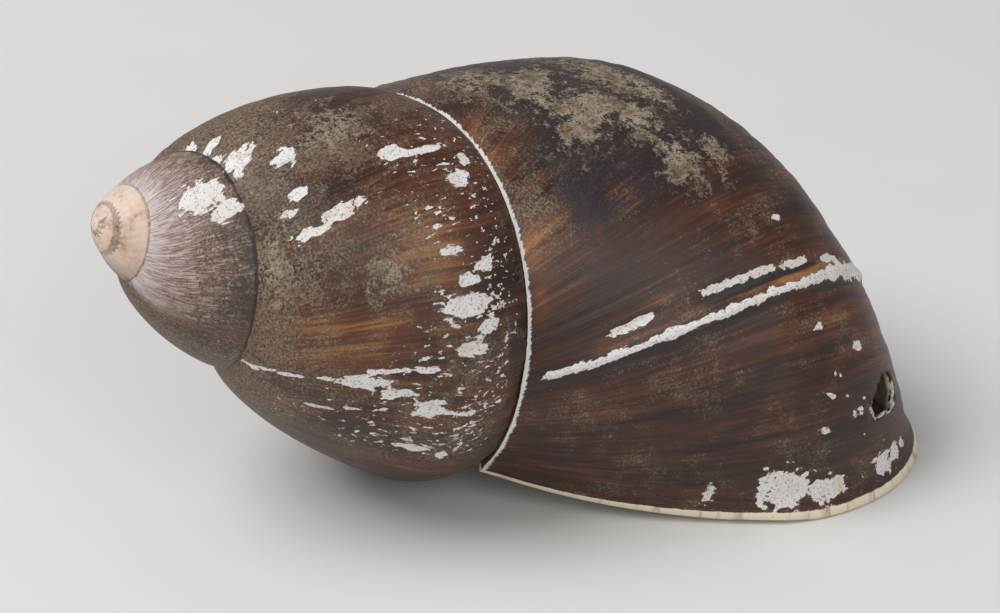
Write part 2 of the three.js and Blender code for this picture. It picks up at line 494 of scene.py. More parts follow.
def flecks_at(stage, v):
    """How thickly small pale flecks are strewn."""
    fleck = 0.1 + 0.1 * noise.noise(Vector((stage * 9, v * 3, 0.0)))
    if -1.4 < stage < -1.0:
        fleck += 0.62 * within(0.5, 0.8, 1.1, 1.3, v) * smooth(-1.4, -1.28, stage)
        fleck += 0.4 * smooth(-1.15, -1.05, stage) * within(0.2, 0.4, 0.6, 0.8, v)
    fleck += 0.35 * within(-1.55, -1.4, -1.36, -1.3, stage) * (1 - v)
    fleck += 0.3 * smooth(-0.16, -0.08, stage) * smooth(0.9, 1.1, v)
    return clamp(fleck)


def film_at(stage, v, rust):
    """How thick the film of dust is: thickest by the sutures of the early whorls."""
    film = (1 - smooth(-1.0, -0.95, stage)) * lerp(0.68, 0.16, smooth(0.2, 0.75, v))
    film += 0.25 * (1 - smooth(-1.5, -1.3, stage)) + 0.1 + 0.5 * rust
    return film + 0.35 * (smooth(-0.62, -0.5, stage) - smooth(-0.33, -0.25, stage))


def joint_shade_at(turn, stage, v, across):
    """Painted shade in the groove above the next whorl; the last whorl has no whorl after it."""
    if turn >= -1:
        return 0.0
    gap = (joint_near(turn) - v) * across
    wide = 1.1 * clamp(sizes_at(turn)[2] / 32, 0.25, 1.0)
    return (1 - smooth(0.0, wide, gap)) * lerp(0.6, 1.0, smooth(-3.3, -2.4, stage))


def marks_at(stage, v):
    """What covers the skin at a point: a dict of strengths, mostly from 0 to 1."""
    turn = stage - slant(v)
    along, across = mm_per_turn(turn, v), mm_per_v(turn)

    def most(spots, reach):
        near = [s for s in spots if abs(s[0] - stage) < reach]
        return max((nearness(stage, v, s, along, across) for s in near), default=0.0)

    scarred, groove, rust, shade = scar_at(stage, v, along)
    top = within(-0.53, -0.46, -0.31, -0.2, stage) * within(0.15, 0.4, 0.95, 1.25, v)
    return {
        "bare": max(most(CHIPS, 0.2), cracks_at(stage, v, along), scarred),
        # painted shade in the mended edge's groove and below its step, and real blue-black
        # weathering on the top of the last whorl
        "soot_and_shade": max(groove, 0.62 * top, 0.55 * shade),
        "groove": groove,
        "fleck": flecks_at(stage, v),
        "mud": most(MUD, 0.35) * (0.82 if stage < -1 else 1),
        "gold": most(GOLD, 0.35) + 1.5 * rust,
        "pale": 1 - smooth(-2.1, -1.98, stage),
        "spire": 1 - smooth(-3.1, -2.9, stage),
        "film": film_at(stage, v, rust),
        "joint": joint_shade_at(turn, stage, v, across),
    }


def relief(stage, v, u, marks):
    """How far the skin stands out or in at a point, in millimetres."""
    turn = stage - slant(v)
    size = clamp(sizes_at(turn)[2] / 45, 0.15, 1.0)
    down = 2 * wall_share(v)
    ridges = 0.11 * noise.noise(Vector((u * 0.75, down * 1.6, 3.1)))
    ridges += 0.13 * noise.noise(Vector((u * 0.28, down * 0.9, 8.4)))
    ridges += 0.1 * abs(noise.noise(Vector((u * 0.42, down * 0.5, 1.7))))
    waves = 0.3 * noise.noise(Vector((u * 0.07, down * 2.2, 5.0)))
    out = (ridges + waves) * size
    collar = 0.28 * size * (1 - smooth(0.0, 0.05, v))
    out += collar * (1 + 1.3 * noise.noise(Vector((u * 1.1, 0.0, 6.0))))
    out -= 0.28 * marks["bare"] * size
    out -= 0.5 * marks["groove"]
    ribs = 1 - smooth(-3.1, -2.8, stage)
    if ribs > 0:
        out += 0.035 * ribs * math.sin(RIBS_PER_TURN * math.tau * stage) * clamp(v * 3)
    if abs(stage - SCAR_STAGE) < 0.05:
        step = (stage - SCAR_STAGE) * mm_per_turn(turn, v)
        ridge = math.exp(-((step / 0.9) ** 2)) * within(0.06, 0.2, 1.5, 1.8, v)
        out += 0.7 * ridge
        out += 0.25 * within(-7, 0, 0.8, 1.8, step)
    return out


# ---------------------------------------------------------------- growing the mesh


class Skin:
    """A tube of growth rings, rolled up from a grid, with the values its materials read."""

    def __init__(self, rings):
        self.bm = bmesh.new()
        layers = self.bm.verts.layers
        self.growth = layers.float_vector.new("growth")
        self.cover = layers.float_vector.new("cover")
        self.marks = layers.float_vector.new("marks")
        self.edge = layers.float_vector.new("edge")
        self.place = layers.float_vector.new("place")
        self.side = layers.int.new("side")
        count, spots = len(rings), len(rings[0].points)
        made = bmesh.ops.create_grid(
            self.bm, x_segments=spots, y_segments=count - 1, size=1.0
        )["verts"]
        rows = [[None] * (spots + 1) for _ in range(count)]
        for vert in made:
            column = round((vert.co.x + 1) / 2 * spots)
            row = round((vert.co.y + 1) / 2 * (count - 1))
            rows[row][column] = vert
        for ring, row in zip(rings, rows):
            for i, vert in enumerate(row):
                ring.fill(self, vert, i % spots)
        bmesh.ops.weld_verts(self.bm, targetmap={row[-1]: row[0] for row in rows})
        ends = [e for e in self.bm.edges if len(e.link_faces) == 1]
        bmesh.ops.holes_fill(self.bm, edges=ends, sides=0)


class Ring:
    """One ring of the tube: its points, their growth stages and the side of the wall."""

    def __init__(self, spots, points, stages, ends, side):
        self.spots, self.points, self.stages = spots, points, stages
        self.ends, self.side = ends, side

    def fill(self, skin, vert, i):
        """Puts a vertex at the ring's spot i and tells it how and where it grew."""
        kind, f = self.spots[i]
        v = f if kind == "outer" else 2.0 + f * 0.2
        stage = self.stages[i]
        vert.co = self.points[i]
        down = wall_share(v) + max(v - 2.0, 0.0) / 2
        vert[skin.growth] = Vector((run_at(stage), down * 2 * mm_per_v(stage), stage))
        gap = (self.ends[i] - stage) * mm_per_turn(stage, min(v, 1.4))
        vert[skin.edge] = Vector((v, gap if self.side == OUTER else 0.0, 0.0))
        vert[skin.side] = self.side


def belly_run():
    """Millimetres along the belly from the first whorl to each row of the table."""
    out, total = [], 0.0
    for row in TABLE:
        out.append(total)
        total += math.tau * row[2] * TABLE_STEP
    return out


BELLY_RUN = belly_run()


def run_at(stage):
    """Millimetres grown along the belly at a stage."""
    x = clamp((stage - TABLE_FROM) / TABLE_STEP, 0, len(BELLY_RUN) - 2)
    i = int(x)
    return lerp(BELLY_RUN[i], BELLY_RUN[i + 1], x - i)


# Stages that are searched for the floor.
SEARCH_FROM, SEARCH_STEP, SEARCH_STEPS = -0.4, 0.01, 60


def lip_stage(growth, spot, inside, height):
    """Stage at which a spot comes down to a height over the floor, or None."""

    def landed(stage):
        return growth.point(spot, stage, inside).z < height

    if landed(SEARCH_FROM):
        return SEARCH_FROM
    for i in range(1, SEARCH_STEPS):
        stage = SEARCH_FROM + SEARCH_STEP * i
        if landed(stage):
            return last_before(stage - SEARCH_STEP, stage, landed, 14)
    return None


def lip_line(growth, spots, inside, height):
    """The stage that each spot of the ring ends at: its own lip, or the floor if nearer."""
    out = []
    for kind, f in spots:
        last = PILLAR_STAGE
        if kind == "outer":
            last = lerp(LIP_STAGE, PILLAR_STAGE, smooth(0.9, 2.0, f))
        if kind in ("outer", "foot"):
            floor = lip_stage(growth, (kind, f), inside, height)
            last = last if floor is None else min(floor, last)
        if kind == "inner":
            last = lerp(PILLAR_STAGE, out[0], smooth(0.0, 1.0, f))
        out.append(last)
    return out


def flared(growth, spot, stage, end, sizes):
    """A point of the outer skin near the lip, where the wall turns a little outward."""
    outer = growth.point(spot, stage, False)
    if spot[0] in ("pillar", "inner"):
        return outer
    gap = (end - stage) * mm_per_turn(stage, min(spot[1], 1.4)) * MM
    if gap > sizes.flare_height:
        return outer
    away = outer - growth.point(spot, stage, True)
    wide = lerp(0.6, 1.5, smooth(0.5, 1.3, spot[1])) if spot[0] == "outer" else 1.2
    share = (1 - clamp(gap / sizes.flare_height)) ** 2
    return outer + away.normalized() * sizes.flare * wide * share


def grow_shell(sizes):
    """The whole tube: out along the outer skin, round the lip and back along the inner one."""
    growth = Growth(sizes)
    spots = ring_spots()
    rim = sizes.rim_height
    lip_out = lip_line(growth, spots, False, rim)
    lip_in = lip_line(growth, spots, True, rim)
    rings = []

    def level(stage, inside):
        """Adds a ring whose points all grew at one stage."""
        points = [growth.point(spot, stage, inside) for spot in spots]
        side = INNER if inside else OUTER
        rings.append(Ring(spots, points, [stage] * len(spots), lip_out, side))

    def outer_points(stages):
        return [
            flared(growth, spot, g, end, sizes)
            for spot, g, end in zip(spots, stages, lip_out)
        ]

    stage = FIRST_STAGE
    while stage < FORK_STAGE:
        level(stage, False)
        belly = sizes_at(stage)[2]
        pace = sizes.growth_step / MM * lerp(0.4, 1.0, smooth(2, 34, belly))
        stage += pace / (math.tau * belly)

    longest = math.tau * sizes_at(0.0)[2] * (max(lip_out) - FORK_STAGE)
    steps = int(0.8 * longest * MM / sizes.growth_step)
    for i in range(steps + 1):
        stages = [lerp(FORK_STAGE, end, i / steps) for end in lip_out]
        rings.append(Ring(spots, outer_points(stages), stages, lip_out, OUTER))

    outer_edge = outer_points(lip_out)
    inner_edge = [growth.point(s, g, True) for s, g in zip(spots, lip_in)]
    behind = [growth.point(s, g - 0.004, True) for s, g in zip(spots, lip_in)]
    for f in RIM_ROUND:
        points = []
        for a, b, c in zip(outer_edge, inner_edge, behind):
            ahead = (b - c).normalized()
            depth = 0.5 * (a - b).length
            if min(a.z, b.z) < rim * 1.5:
                ahead = Vector((0, 0, -1))
                depth = rim
            points.append(a.lerp(b, f) + ahead * depth * math.sin(math.pi * f) ** 0.6)
        rings.append(Ring(spots, points, lip_in, lip_in, RIM))

    for i in range(1, MOUTH_STEPS + 1):
        stages = [lerp(end, FORK_STAGE, i / MOUTH_STEPS) for end in lip_in]
        points = [growth.point(s, g, True) for s, g in zip(spots, stages)]
        rings.append(Ring(spots, points, stages, lip_in, INNER))
    stage = FORK_STAGE
    while stage > sizes.hollow_from:
        stage -= INNER_STEP / (math.tau * sizes_at(stage)[2])
        level(stage, True)
    return Skin(rings), growth


def carve(skin):
    """Gives the outer skin its relief and every point the values its materials read."""
    bm = skin.bm
    bmesh.ops.recalc_face_normals(bm, faces=bm.faces)
    bm.normal_update()
    moves = []
    for vert in bm.verts:
        u, _, stage = vert[skin.growth]
        v, gap, _ = vert[skin.edge]
        band = lerp(0.7, 1.0, smooth(0.3, 0.8, v))
        lip = 1 - smooth(0.5 * band, 1.7 * band, gap)
        if vert[skin.side] == OUTER and v <= 2.0:
            marks = marks_at(stage, v)
            out = relief(stage, v, u, marks) * smooth(0.4, 3.0, gap)
            moves.append((vert, out * MM))
            vert[skin.cover] = Vector((marks["mud"], marks["pale"], 0.0))
            vert[skin.marks] = Vector((marks["bare"], marks["fleck"], marks["soot_and_shade"]))
            vert[skin.edge] = Vector((v, lip, marks["gold"]))
            vert[skin.place] = Vector((marks["spire"], marks["joint"], marks["film"]))
        else:
            vert[skin.edge] = Vector((v, lip, 0.0))
    for vert, out in moves:
        vert.co += vert.normal * out
    for vert in bm.verts:
        vert.co.z = max(vert.co.z, 0.0)


# The break in the wall near the foot of the lip: its middle, the way out through the wall,
# and its outline as across and up, all in millimetres.
BREAK_AT = Vector((53.5, -37.7, 16.4))
BREAK_OUT = Vector((0.467, -0.847, 0.252))
BREAK_OUTLINE = [
    (4.2, 1.6), (3.9, -1.0), (2.6, -2.7), (-1.2, -2.2), (-4.4, -2.1),
    (-4.5, -0.2), (-3.1, 1.7), (-0.8, 3.0), (2.0, 3.1),
]
BREAK_DEPTH = 6.0  # the wall lies this near to the middle, whichever skin it is
BREAK_RADIUS = 7.0
BREAK_FLARE = 1.28  # the break is this much wider on the inner skin


def break_wall(skin):
    """Knocks the break through both skins and joins its two rims with a rough wall."""
    bm = skin.bm
    out = BREAK_OUT.normalized()
    across = Vector((0, 0, 1)).cross(out).normalized()
    up = out.cross(across)
    angles = [math.atan2(y, x) for x, y in BREAK_OUTLINE]
    radii = [math.hypot(x, y) for x, y in BREAK_OUTLINE]

    def flat(co):
        """Across, up and out of the break's middle, in millimetres."""
        d = co / MM - BREAK_AT
        return d.dot(across), d.dot(up), d.dot(out)

    def reach(angle, rough):
        """How far the break's outline is from its middle, at an angle."""
        best = []
        for a, r in zip(angles, radii):
            gap = abs((angle - a + math.pi) % math.tau - math.pi)
            best.append((gap, r))
        best.sort()
        (g0, r0), (g1, r1) = best[0], best[1]
        r = (r0 * g1 + r1 * g0) / (g0 + g1)
        return r + rough * noise.noise(Vector((math.cos(angle) * 3, math.sin(angle) * 3, rough)))

    doomed = []
    for face in bm.faces:
        x, y, z = flat(face.calc_center_median())
        d = math.hypot(x, y)
        if abs(z) <= BREAK_DEPTH and d <= BREAK_RADIUS and d < reach(math.atan2(y, x), 0.0):
            doomed.append(face)
    if not doomed:
        raise RuntimeError("the break found no wall to go through")
    bmesh.ops.delete(bm, geom=doomed, context="FACES")
    rims = [e for e in bm.edges if len(e.link_faces) == 1]
    for vert in {v for e in rims for v in e.verts}:
        x, y, z = flat(vert.co)
        angle = math.atan2(y, x)
        inside = vert[skin.side] != OUTER
        r = reach(angle, 0.5) * (BREAK_FLARE if inside else 1.0)
        edge = BREAK_AT + across * math.cos(angle) * r + up * math.sin(angle) * r
        vert.co = (edge + out * z) * MM
        # painted shade on the break's wall, darkest towards the inner skin
        vert[skin.marks] = Vector((0.0, 0.0, 1.2 if inside else 0.4))
    bmesh.ops.bridge_loops(bm, edges=rims)
    for vert in bm.verts:
        x, y, z = flat(vert.co)
        d = math.hypot(x, y)
        if abs(z) < BREAK_DEPTH and d < BREAK_RADIUS + 1 and vert[skin.side] == OUTER:
            chip = 1 - smooth(0.0, 0.9, d - reach(math.atan2(y, x), 0.0))
            side = smooth(0.1, 0.9, (abs(x) * 0.8 - y) / (d + 0.1))
            vert[skin.marks].x = max(vert[skin.marks].x, chip * lerp(0.0, 0.8, side))


def add_bulb(skin, growth, sizes):
    """The round first whorl that caps the apex."""
    radius = sizes.bulb_radius
    made = bmesh.ops.create_uvsphere(skin.bm, u_segments=28, v_segments=18, radius=radius)
    middle = growth.place(0.0, 0.0, radius / MM - 0.1)
    bmesh.ops.translate(skin.bm, verts=made["verts"], vec=middle)
    for vert in made["verts"]:
        turn = math.atan2(vert.co.y - middle.y, vert.co.z - middle.z)
        vert[skin.growth] = Vector((turn * 4, 2.0, -4.5))
        vert[skin.cover] = Vector((0.0, 1.0, 0.0))
        vert[skin.marks] = Vector((0.0, 0.1, 0.0))
        vert[skin.place] = Vector((1.0, 0.0, 0.1))


# ---------------------------------------------------------------- materials


def node(tree, kind, inputs=None, stops=None, **settings):
    """Adds a node, sets its properties, and fills its sockets with values or links."""
    made = tree.nodes.new(kind)
    for name, value in settings.items():
        setattr(made, name, value)
    if stops:
        elements = made.color_ramp.elements
        while len(elements) < len(stops):
            elements.new(0.5)
        for element, (place, colour) in zip(elements, stops):
            element.position = place
            element.color = (*colour, 1.0)
    for key, value in (inputs or {}).items():
        if isinstance(value, bpy.types.NodeSocket):
            tree.links.new(value, made.inputs[key])
        else:
            made.inputs[key].default_value = value
    return made


def blank_material(name, ior):
    """A material with one shader on its output, and nothing else yet."""
    mat = bpy.data.materials.new(name)
    mat.use_nodes = True
    tree = mat.node_tree
    tree.nodes.clear()
    shader = node(tree, "ShaderNodeBsdfPrincipled", {"IOR": ior})
    node(tree, "ShaderNodeOutputMaterial", {"Surface": shader.outputs["BSDF"]})
    return mat, tree, shader


def opaque(colour):
    """A colour with full cover."""
    return (*colour, 1.0)


def enamel_colour(tree, colours):
    """Cream lime enamel with brown stains that gather in streaks across the lip."""
    growth = node(tree, "ShaderNodeAttribute", attribute_name="growth").outputs["Vector"]
    cells = {0: growth, 1: (1 / 14, 1 / 3.5, 0.0)}
    streaks = node(tree, "ShaderNodeVectorMath", cells, operation="MULTIPLY").outputs[0]
    settings = {"Vector": streaks, "Scale": 1.0, "Detail": 6.0, "Roughness": 0.65}
    stain = node(tree, "ShaderNodeTexNoise", settings).outputs["Fac"]
    span = {"Value": stain, "From Min": 0.53, "From Max": 0.7, "To Max": 0.75}
    stained = node(tree, "ShaderNodeMapRange", span).outputs[0]
    coats = {0: stained, 6: opaque(colours.enamel), 7: opaque(colours.stain)}
    return node(tree, "ShaderNodeMix", coats, data_type="RGBA").outputs[2]


def enamel_material(colours):
    """Lime enamel laid down smooth by the mantle: a soft porcelain gloss, cream, stained."""
    mat, tree, shader = blank_material("lime_enamel_laid_smooth", 1.53)
    tree.links.new(enamel_colour(tree, colours), shader.inputs["Base Color"])
    place = node(tree, "ShaderNodeTexCoord").outputs["Object"]
    settings = {"Vector": place, "Scale": per_metre(1.5), "Detail": 4.0}
    pits = node(tree, "ShaderNodeTexNoise", settings).outputs["Fac"]
    span = {"Value": pits, "To Min": 0.22, "To Max": 0.42}
    rough = node(tree, "ShaderNodeMapRange", span).outputs[0]
    tree.links.new(rough, shader.inputs["Roughness"])
    settings = {"Height": pits, "Strength": 0.25, "Distance": 0.1 * MM}
    bump = node(tree, "ShaderNodeBump", settings)
    tree.links.new(bump.outputs[0], shader.inputs["Normal"])
    return mat


def per_metre(size):
    """Noise scale whose cells have a size in millimetres, on Object coordinates."""
    return 1 / (size * MM)


# The mesh's own values that the skin reads, layer by layer.
LAYERS = {
    "growth": ("run", "down", "stage"),
    "cover": ("mud", "pale", "spare"),
    "marks": ("bare", "fleck", "soot_and_shade"),
    "edge": ("v", "lip", "gold"),
    "place": ("spire", "joint", "film"),
}
# Noise laid along the growth: cell in millimetres along and across it, detail, roughness, twist.
GROWN = {
    "fine": (0.55, 16.0, 4.0, 0.6, 0.0),
    "streak": (1.6, 26.0, 5.0, 0.65, 0.15),
    "band": (9.0, 60.0, 3.0, 0.6, 0.0),
    "lilac": (0.55, 3.5, 4.0, 0.7, 0.0),
    "hair": (0.35, 2.4, 4.0, 0.75, 0.0),
    "torn": (1.5, 2.3, 3.5, 0.55, 0.3),
    "shards": (0.9, 1.5, 3.0, 0.6, 0.3),
    "bead": (0.8, 3.0, 4.0, 0.6, 0.0),
}
# Noise that is the same every way: cell in millimetres, detail, roughness.
LUMPS = {
    "grain": (0.42, 3.0, 0.75),
    "patch": (3.2, 5.0, 0.7),
    "cloud": (15.0, 4.0, 0.6),
    "clump": (6.5, 3.0, 0.6),
    "bits": (1.4, 4.0, 0.7),
}
# Where each coat lies: a start, weights of fields added to it, the sum at which the coat
# begins and at which it is whole, and how much it covers there (a number or another mask).
MASKS = {
    # streaks, from nearly black to clear amber
    "shade": (
        -0.95,
        {"fine": 0.4, "streak": 0.55, "band": 0.55, "cloud": 0.35, "gold": 0.2},
        -0.24, 0.3, 1.0,
    ),
    # a film of grey-brown dust in fine grains
    "light_grain": (0.0, {"grain": 1.0}, 0.5, 0.66, 1.0),
    "dark_grain": (0.0, {"grain": 1.0}, 0.47, 0.38, 1.0),
    "dusted": (
        0.0,
        {"film": 0.6, "patch": 0.8, "grain": 0.75, "cloud": 1.1, "fine": 0.4},
        1.66, 2.02, 0.8,
    ),
    # blue-black weathered ground with painted shade in the grooves and in the break, and dried
    # mud lying on it in crumbs
    "soiled_and_shaded": (0.0, {"soot_and_shade": 0.8, "clump": 0.8, "patch": 0.4}, 0.82, 1.08, 0.88),
    "near_mud": (0.0, {"mud": 1.0}, 0.04, 0.2, 1.0),
    "muddied": (
        0.0,
        {"mud": 0.7, "clump": 0.9, "patch": 1.7, "bits": 1.7, "grain": 1.2},
        3.09, 3.34, "near_mud",
    ),
    "brown_mud": (0.0, {"patch": 1.0}, 0.46, 0.62, 1.0),
    "mud_holes": (0.0, {"grain": 1.0}, 0.47, 0.38, 0.8),
    # early whorls: thin pale lime with rosy streaks, and grime that gathers down the whorl
    "rosy": (0.0, {"v": 0.9, "lilac": 0.9}, 0.48, 0.86, 1.0),
    "haired": (0.0, {"hair": 1.0}, 0.5, 0.62, 0.7),
    "brown_hair": (0.0, {"hair": -1.0, "v": 0.12}, -0.47, -0.38, 0.75),
    "dingy": (0.0, {"v": 0.62, "grain": 0.9, "patch": 0.6, "lilac": 0.3}, 1.12, 1.4, 0.8),
    "dark": (0.0, {"v": 0.62, "grain": 0.9, "patch": 0.6, "lilac": 0.3}, 1.2, 1.4, 0.7),
    "warm": (0.0, {"cloud": 1.0, "patch": 0.6, "v": 0.12}, 0.8, 1.1, 0.8),
    "ribbed": (0.0, {"rib": 1.0}, 0.0, 0.9, 0.36),
    "spotted": (0.0, {"grain": 1.0, "patch": 1.0}, 1.05, 1.3, 0.6),
    "early": (0.0, {"pale": 1.0, "patch": 0.8}, 0.7, 1.05, 1.0),
    # painted shade in the groove above the next whorl
    "shade_above_joint": (0.0, {"joint": 1.0, "grain": 0.5}, 0.6, 1.1, 0.85),
    # flaked places: the field holds their middles, and the noise tears their edges
    "near_flake": (0.0, {"bare": 1.0}, 0.1, 0.3, 0.45),
    "tide": (0.0, {"bare": 1.0, "torn": 1.7}, 1.22, 1.34, "near_flake"),
    "flaked": (0.0, {"bare": 1.0, "torn": 1.7}, 1.34, 1.38, 1.0),
    "flecked": (0.0, {"fleck": 0.3, "shards": 1.0, "patch": 0.25}, 0.94, 0.96, 1.0),
    "creamy": (0.0, {"patch": 1.0}, 0.48, 0.66, 0.75),
    "dusty_lime": (0.0, {"grain": 1.0}, 0.55, 0.64, 0.8),
    # beaded white line of the suture on the last whorl, and the cream band of the lip
    "late": (0.0, {"stage": 1.0}, -1.0, -0.8, 1.0),
    "beaded": (
        -0.95,
        {"down": -0.55, "bead": 0.8, "grain": 0.5, "late": 0.6, "patch": 0.4},
        0.1, 0.24, 0.95,
    ),
    "rimmed": (0.0, {"lip": 1.0, "torn": 0.5, "grain": 0.2}, 0.82, 0.98, 1.0),
    # how rough the skin is, and how high it stands
    "dust_grain": (0.0, {"grain": 1.0}, 0.0, 1.0, "dusted"),
    "mud_grain": (0.0, {"grain": 1.0}, 0.0, 1.0, "muddied"),
    "rough": (
        0.36,
        {
            "dusted": 0.22, "muddied": 0.4, "flaked": 0.2, "flecked": 0.2,
            "grain": 0.12, "pale": 0.1,
        },
        0.0, 1.0, 1.0,
    ),
    "height": (
        0.0,
        {
            "fine": 0.35, "streak": 0.5, "dust_grain": 0.35, "muddied": 0.45,
            "mud_grain": 0.5, "flaked": -0.6, "flecked": -0.5,
        },
        -1.2, 1.8, 1.0,
    ),
}
# Colours built up coat on coat: the ground, then what is laid on it and by which mask.
COATS = {
    "film_of_dust": ("dust", [("mud", "light_grain"), ("skin_dark", "dark_grain")]),
    "caked_mud": ("mud", [("dust", "brown_mud"), ("ground", "mud_holes")]),
    "first_whorl": ("cream", [("tip", "warm"), ("pale", "ribbed"), ("stain", "spotted")]),
    "early_whorls": (
        "pale",
        [
            ("rose", "rosy"), ("pale", "haired"), ("dust", "brown_hair"), ("dust", "dingy"),
            ("ground", "dark"), ("first_whorl", "spire"),
        ],
    ),
    "chalk": ("lime", [("cream", "creamy"), ("dust", "dusty_lime")]),
    "weathered_skin": (
        "skin",
        [
            # the blue-black ground laid here is weathering with painted shade, and painted shade
            # above the next whorl
            ("film_of_dust", "dusted"), ("ground", "soiled_and_shaded"), ("caked_mud", "muddied"),
            ("early_whorls", "early"), ("ground", "shade_above_joint"), ("dust", "tide"),
            ("chalk", "flaked"), ("chalk", "flecked"), ("lime", "beaded"),
            ("enamelled", "rimmed"),
        ],
    ),
}


def skin_material(colours):
    """Horny skin over chalky lime, grown in streaks and long weathered.

    The skin is satin and streaked along the growth lines; where it has flaked the dull white
    lime shows with crisp edges, and grains of dried mud lie on it and dull it. Blue-black painted
    shade lies in the grooves, under the mended edge, in the break and above the next whorl.
    """
    mat, tree, shader = blank_material("horny_skin_grown_weathered", 1.5)
    place = node(tree, "ShaderNodeTexCoord").outputs["Object"]
    layers = {
        name: node(tree, "ShaderNodeAttribute", attribute_name=name).outputs["Vector"]
        for name in LAYERS
    }
    fields = {}
    for name, parts in LAYERS.items():
        fields.update(zip(parts, node(tree, "ShaderNodeSeparateXYZ", {0: layers[name]}).outputs))
    for name, (along, across, detail, roughness, twist) in GROWN.items():
        cells = {0: layers["growth"], 1: (1 / along, 1 / across, 3.0)}
        stretched = node(tree, "ShaderNodeVectorMath", cells, operation="MULTIPLY").outputs[0]
        settings = {"Vector": stretched, "Scale": 1.0, "Detail": detail}
        settings.update({"Roughness": roughness, "Distortion": twist})
        fields[name] = node(tree, "ShaderNodeTexNoise", settings).outputs["Fac"]
    for name, (size, detail, roughness) in LUMPS.items():
        settings = {"Vector": place, "Scale": per_metre(size), "Detail": detail}
        settings["Roughness"] = roughness
        fields[name] = node(tree, "ShaderNodeTexNoise", settings).outputs["Fac"]
    turning = {0: fields["stage"], 1: RIBS_PER_TURN * math.tau}
    ribs = node(tree, "ShaderNodeMath", turning, operation="MULTIPLY").outputs[0]
    fields["rib"] = node(tree, "ShaderNodeMath", {0: ribs}, operation="SINE").outputs[0]

    for name, (total, weights, low, high, most) in MASKS.items():
        for field, weight in weights.items():
            term = {0: fields[field], 1: weight, 2: total}
            total = node(tree, "ShaderNodeMath", term, operation="MULTIPLY_ADD").outputs[0]
        span = {"Value": total, "From Min": low, "From Max": high}
        span["To Max"] = fields.get(most, most)
        fields[name] = node(tree, "ShaderNodeMapRange", span).outputs[0]

    paints = {name: opaque(getattr(colours, name)) for name in ShellColours.__annotations__}
    paints["enamelled"] = enamel_colour(tree, colours)
    stops = [
        (0.1, colours.skin_dark),
        (0.42, colours.skin_brown),
        (0.68, colours.skin_rust),
        (0.95, colours.skin_amber),
    ]
    streaked = node(tree, "ShaderNodeValToRGB", {"Fac": fields["shade"]}, stops=stops)
    paints["skin"] = streaked.outputs["Color"]
    for name, (ground, coats) in COATS.items():
        colour = paints[ground]
        for top, mask in coats:
            coat = {0: fields[mask], 6: colour, 7: paints[top]}
            colour = node(tree, "ShaderNodeMix", coat, data_type="RGBA").outputs[2]
        paints[name] = colour
    tree.links.new(paints["weathered_skin"], shader.inputs["Base Color"])
    tree.links.new(fields["rough"], shader.inputs["Roughness"])
    settings = {"Height": fields["height"], "Strength": 0.7, "Distance": 0.54 * MM}
    bump = node(tree, "ShaderNodeBump", settings)
    tree.links.new(bump.outputs[0], shader.inputs["Normal"])
    return mat


# ---------------------------------------------------------------- properties and operators


def length_property(name, description, millimetres):
    """A length, given in millimetres and kept in metres."""
    return bpy.props.FloatProperty(
        name=name, description=description, default=millimetres * MM, unit="LENGTH"
    )


class ShellSizes(bpy.types.PropertyGroup):
    axis_dip: bpy.props.FloatProperty(
        name="Axis dip",
        description="Slope of the shell's axis from its apex down to its foot",
        default=math.radians(23.34),
        subtype="ANGLE",
    )
    phase: bpy.props.FloatProperty(
        name="Mouth corner",
        description="Angle round the axis at which the back corner of the mouth lies",
        default=math.radians(258.2),
        subtype="ANGLE",
    )
    apex: bpy.props.FloatVectorProperty(
        name="Apex",
        description="Place of the apex",
        default=(-0.0674, 0.00575, 0.0606),
        subtype="TRANSLATION",
    )
    wall_share: bpy.props.FloatProperty(
        name="Wall",
        description="Thickness of the wall as a share of the belly's radius",
        default=0.038,
    )
    thinnest_wall: length_property(
        "Thinnest wall", "Thickness that the wall keeps towards the apex", 0.7
    )
    growth_step: length_property(
        "Growth step", "Distance along the belly from one ring of the mesh to the next", 1.0
    )
    hollow_from: bpy.props.FloatProperty(
        name="Hollow from",
        description="Turn at which the hollow starts, counted back from the mouth",
        default=-2.2,
    )
    rim_height: length_property("Lip edge", "Height of the rounded edge of the lip", 0.9)
    flare: length_property("Lip flare", "How far the lip turns outward", 1.3)
    flare_height: length_property(
        "Flare height", "Height at which the lip starts to turn outward", 5.0
    )
    bulb_radius: length_property("First whorl", "Radius of the round first whorl", 1.7)


def colour_property(name, description, code):
    """A colour, given as sRGB hex and kept linear."""
    return bpy.props.FloatVectorProperty(
        name=name, description=description, default=linear(code), subtype="COLOR", min=0, max=1
    )


class ShellColours(bpy.types.PropertyGroup):
    skin_dark: colour_property("Skin, dark", "Darkest streaks of the skin", "#1b100d")
    skin_brown: colour_property("Skin, brown", "Chestnut ground of the skin", "#3c1f14")
    skin_rust: colour_property("Skin, rust", "Warm streaks of the skin", "#5e3218")
    skin_amber: colour_property("Skin, amber", "Clearest streaks of the skin", "#a06629")
    # this blue-black is also the painted shade in the grooves, below the mended edge, in the
    # break and above the next whorl
    ground: colour_property("Weathered ground", "Blue-black grime under the mud", "#231d20")
    dust: colour_property("Dust", "Film of dust in the skin's pores", "#6c5846")
    mud: colour_property("Mud", "Dried mud", "#998c78")
    lime: colour_property("Lime", "Bare chalky lime under the skin", "#dfdedd")
    pale: colour_property("Early whorls", "Thin lilac-white lime", "#cdc1c0")
    cream: colour_property("Cream", "Cream lime", "#dbc5b3")
    rose: colour_property("Rose", "Rosy streaks on the early whorls", "#8e7068")
    tip: colour_property("Tip", "Warm first whorl", "#b28863")
    enamel: colour_property("Enamel", "Cream enamel of the lip and inside", "#e8dbc2")
    stain: colour_property("Stain", "Brown stains in the enamel", "#8c5f38")


